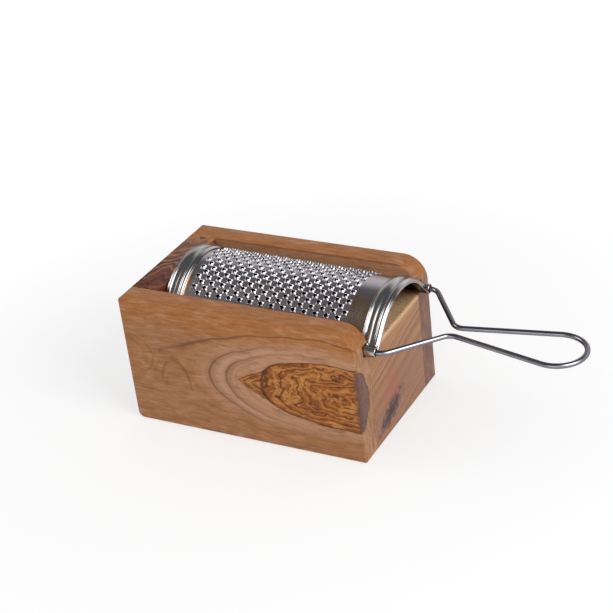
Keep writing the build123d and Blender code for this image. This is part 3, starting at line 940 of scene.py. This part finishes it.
def wire_path(section, sizes):
    """The wire's middle line in metres: front hem, teardrop loop, back hem."""
    level = section.wire_z - sizes.drop / MM
    neck = Vector((section.right + sizes.neck / MM, -sizes.neck_half / MM, level))
    loop_radius = sizes.loop / MM
    middle = Vector((section.right + sizes.reach / MM - loop_radius, 0, level))
    reach = middle - neck
    opening = atan2(reach.y, reach.x) - asin(loop_radius / reach.length)
    run = sqrt(reach.length**2 - loop_radius**2)
    loop_start = neck + Vector((cos(opening), sin(opening), 0)) * run
    corners = [
        Vector((section.left + sizes.thickness / MM, -section.wire_y, section.wire_z)),
        Vector((section.right + sizes.shoulder / MM, -section.wire_y, section.wire_z)),
        neck,
        loop_start,
    ]
    bend = sizes.bend / MM
    front = rounded_path(corners, [bend, bend])
    begin = atan2(loop_start.y - middle.y, loop_start.x - middle.x)
    turns = evenly(begin, -begin, 48)[1:]
    bow = [middle + Vector((cos(turn), sin(turn), 0)) * loop_radius for turn in turns]
    back = [Vector((p.x, -p.y, p.z)) for p in reversed(front)]
    return [section.slope @ (p * MM) for p in front + bow + back]


def seen_by(recipe, *rays):
    """1 for the named kinds of rays, such as Camera or Glossy, and 0 for the others."""
    kinds = [recipe.add("ShaderNodeLightPath", output=f"Is {ray} Ray") for ray in rays]
    return sum(kinds[1:], kinds[0]).math("MINIMUM", 1.0)


def paper_floor():
    """The floor: plain white paper that keeps a soft shadow near the box."""
    recipe = material("paper_floor")
    x, y, z, vector = recipe.place()
    paper = recipe.add("ShaderNodeBsdfDiffuse", sockets={"Color": DIFFUSE_WHITE})
    glow = recipe.add("ShaderNodeEmission", sockets={"Color": WHITE, "Strength": 1.05})
    away = (x * x + y * y) ** 0.5
    share = seen_by(recipe, "Camera", "Glossy", "Transmission") * (recipe.step(away, 110.0, 260.0) * 0.45 + 0.55)
    return recipe.finish(recipe.add("ShaderNodeMixShader", sockets={0: share, 1: paper, 2: glow}))


def area_lamp(name, spot, width, height, energy):
    """A soft lamp that points at the box."""
    lamp = bpy.data.lights.new(name, "AREA")
    lamp.shape = "RECTANGLE"
    lamp.size = width
    lamp.size_y = height
    lamp.energy = energy
    piece = bpy.data.objects.new(name, lamp)
    piece.location = spot
    target = Vector((0, 0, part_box("front_board")[1].z))
    piece.rotation_euler = (target - Vector(spot)).to_track_quat("-Z", "Y").to_euler()
    bpy.context.scene.collection.objects.link(piece)


def set_camera(studio):
    """The camera, at the viewing angle that shows the box from its right front corner."""
    azimuth, elevation = studio.azimuth, studio.elevation
    right = Vector((cos(azimuth), sin(azimuth), 0))
    back = Vector((sin(azimuth) * cos(elevation), -cos(azimuth) * cos(elevation), sin(elevation)))
    up = back.cross(right)
    turn_x = right * cos(studio.roll) + up * sin(studio.roll)
    turn_y = up * cos(studio.roll) - right * sin(studio.roll)
    lens = bpy.data.cameras.new("camera")
    lens.lens = studio.lens
    lens.sensor_width = 36.0
    lens.sensor_fit = "HORIZONTAL"
    lens.clip_start = 0.01
    camera = bpy.data.objects.new("camera", lens)
    camera.matrix_world = Matrix.Translation(studio.camera) @ Matrix((turn_x, turn_y, back)).transposed().to_4x4()
    bpy.context.scene.collection.objects.link(camera)
    bpy.context.scene.camera = camera


def light_panel(recipe, direction, far, near):
    """A soft round panel of light in one direction, by the cosines of its outer and
    inner edges."""
    x, y, z = recipe.split(recipe.scaled(recipe.add("ShaderNodeTexCoord", output="Generated"), direction))
    return recipe.step(x + y + z, far, near)


def set_world(studio):
    """Even light from all round. The camera sees plain white; steel sees white low down,
    a darker room overhead and a pale window behind."""
    recipe = Recipe(bpy.data.worlds.new("studio"))
    aside, ahead, height = recipe.split(recipe.add("ShaderNodeTexCoord", output="Generated"))
    window = recipe.step(ahead, 0.50, 0.75) * recipe.step(height, 0.80, 0.55) * 0.50
    wall = recipe.step(height, 0.72, 0.18) * (recipe.step(aside, -0.7, 0.2) * 0.45 + 0.55)
    panels = light_panel(recipe, (0.76, -0.22, 0.61), 0.80, 0.93) * studio.right_panel
    panels = panels + light_panel(recipe, (-0.80, -0.18, 0.57), 0.950, 0.975) * studio.left_panel
    room = (wall + window) * (1 - studio.overhead) + studio.overhead + panels
    camera = seen_by(recipe, "Camera")
    mirror = seen_by(recipe, "Glossy", "Transmission")
    strength = camera + mirror * room + (1 - camera - mirror) * studio.sky
    shade = recipe.add("ShaderNodeBackground", sockets={"Color": WHITE, "Strength": strength})
    bpy.context.scene.world = recipe.finish(shade, "ShaderNodeOutputWorld")


class NUTMEG_OT_front_board(Operator):
    """Gives the front board its figured olive wood"""
    bl_idname = "nutmeg.front_board"
    bl_label = "Front board"

    def execute(self, context):
        dress_node("front_board", front_board_wood(), context.scene.nutmeg_wood.edge)
        return {"FINISHED"}


class NUTMEG_OT_back_board(Operator):
    """Gives the back board its straight orange grain"""
    bl_idname = "nutmeg.back_board"
    bl_label = "Back board"

    def execute(self, context):
        dress_node("back_board", back_board_wood(), context.scene.nutmeg_wood.edge)
        return {"FINISHED"}


class NUTMEG_OT_end_blocks(Operator):
    """Gives the two end blocks their heartwood and their straight cross grain"""
    bl_idname = "nutmeg.end_blocks"
    bl_label = "End blocks"

    def execute(self, context):
        edge = context.scene.nutmeg_wood.edge
        dress_node("left_end_block", heartwood(), edge * 0.4)
        dress_node("right_end_block", right_block_wood(), edge * 0.4)
        return {"FINISHED"}


class NUTMEG_OT_floor_board(Operator):
    """Gives the floor board its plain wood"""
    bl_idname = "nutmeg.floor_board"
    bl_label = "Floor board"

    def execute(self, context):
        dress_node("floor_board", floor_board_wood(), context.scene.nutmeg_wood.edge * 0.4)
        return {"FINISHED"}


class NUTMEG_OT_grater_sheet(Operator):
    """Builds the punched sheet with its torn teeth, flanks and rolled hems"""
    bl_idname = "nutmeg.grater_sheet"
    bl_label = "Grater sheet"

    def execute(self, context):
        sizes = context.scene.nutmeg_sizes
        section = Section(sizes)
        finish = sheet_steel(section, sizes)
        piece = punched_sheet(section, sizes).build("punched_sheet", finish, radians(32))
        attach(piece, "grater")
        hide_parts("grater_sheet")
        return {"FINISHED"}


class NUTMEG_OT_end_bands(Operator):
    """Builds the two ribbed bands that clasp the sheet's ends"""
    bl_idname = "nutmeg.end_bands"
    bl_label = "End bands"

    def execute(self, context):
        sizes = context.scene.nutmeg_sizes
        section = Section(sizes)
        finish = band_steel()
        for name, node, fold_side in (("left_band", "left_end_band", -1), ("right_band", "right_end_band", 1)):
            piece = end_band(section, sizes, fold_side).build(name, finish, radians(40))
            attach(piece, "grater")
            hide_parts(node)
        return {"FINISHED"}


class NUTMEG_OT_wire_handle(Operator):
    """Bends the wire through both hems and round its teardrop loop"""
    bl_idname = "nutmeg.wire_handle"
    bl_label = "Wire handle"

    def execute(self, context):
        sizes = context.scene.nutmeg_sizes
        line = bpy.data.curves.new("handle_wire", "CURVE")
        line.dimensions = "3D"
        line.bevel_depth = sizes.wire_diameter / 2
        line.bevel_resolution = 6
        line.use_fill_caps = True
        path = wire_path(Section(sizes), sizes)
        spline = line.splines.new("POLY")
        spline.points.add(len(path) - 1)
        for point, where in zip(spline.points, path):
            point.co = (*where, 1.0)
        spline.use_smooth = True
        line.materials.append(wire_steel())
        piece = bpy.data.objects.new("handle_wire", line)
        bpy.context.scene.collection.objects.link(piece)
        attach(piece, "grater")
        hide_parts("wire_handle")
        return {"FINISHED"}


class NUTMEG_OT_stage(Operator):
    """Sets the floor, the lamps, the even light and the camera"""
    bl_idname = "nutmeg.stage"
    bl_label = "Stage"

    def execute(self, context):
        studio = context.scene.nutmeg_studio
        context.scene.view_settings.view_transform = "Standard"
        set_camera(studio)
        set_world(studio)
        area_lamp("right_lamp", studio.right_lamp, 0.62, 0.62, studio.right_power)
        area_lamp("left_lamp", studio.left_lamp, 0.70, 0.28, studio.left_power)
        area_lamp("front_lamp", studio.front_lamp, 0.90, 0.90, studio.front_power)
        half = 3.0
        corners = [(-half, -half, 0), (half, -half, 0), (half, half, 0), (-half, half, 0)]
        mesh = bpy.data.meshes.new("floor_sheet")
        mesh.from_pydata(corners, [], [(0, 1, 2, 3)])
        mesh.materials.append(paper_floor())
        floor = bpy.data.objects.new("floor_sheet", mesh)
        context.scene.collection.objects.link(floor)
        return {"FINISHED"}


class NUTMEG_PT_panel(Panel):
    """Lists the steps that dress the grater"""
    bl_idname = "NUTMEG_PT_panel"
    bl_label = "Nutmeg grater"
    bl_space_type = "VIEW_3D"
    bl_region_type = "UI"
    bl_category = "Nutmeg"

    def draw(self, context):
        for step in STEPS:
            self.layout.operator(step.bl_idname)
        for group in SETTINGS:
            settings = getattr(context.scene, group)
            for name in settings.__annotations__:
                self.layout.prop(settings, name)


STEPS = (
    NUTMEG_OT_stage,
    NUTMEG_OT_front_board,
    NUTMEG_OT_back_board,
    NUTMEG_OT_end_blocks,
    NUTMEG_OT_floor_board,
    NUTMEG_OT_grater_sheet,
    NUTMEG_OT_end_bands,
    NUTMEG_OT_wire_handle,
)
SETTINGS = {
    "nutmeg_wood": NutmegWood,
    "nutmeg_steel": NutmegSteel,
    "nutmeg_sizes": NutmegSizes,
    "nutmeg_studio": NutmegStudio,
}


def register():
    for group in (*SETTINGS.values(), *STEPS, NUTMEG_PT_panel):
        bpy.utils.register_class(group)
    for name, group in SETTINGS.items():
        setattr(bpy.types.Scene, name, PointerProperty(type=group))


def unregister():
    for name in SETTINGS:
        delattr(bpy.types.Scene, name)
    for group in reversed((*SETTINGS.values(), *STEPS, NUTMEG_PT_panel)):
        bpy.utils.unregister_class(group)


def main():
    register()
    bpy.ops.nutmeg.stage()
    bpy.ops.nutmeg.front_board()
    bpy.ops.nutmeg.back_board()
    bpy.ops.nutmeg.end_blocks()
    bpy.ops.nutmeg.floor_board()
    bpy.ops.nutmeg.grater_sheet()
    bpy.ops.nutmeg.end_bands()
    bpy.ops.nutmeg.wire_handle()
    bpy.context.view_layer.update()


if __name__ == "__main__":
    main()
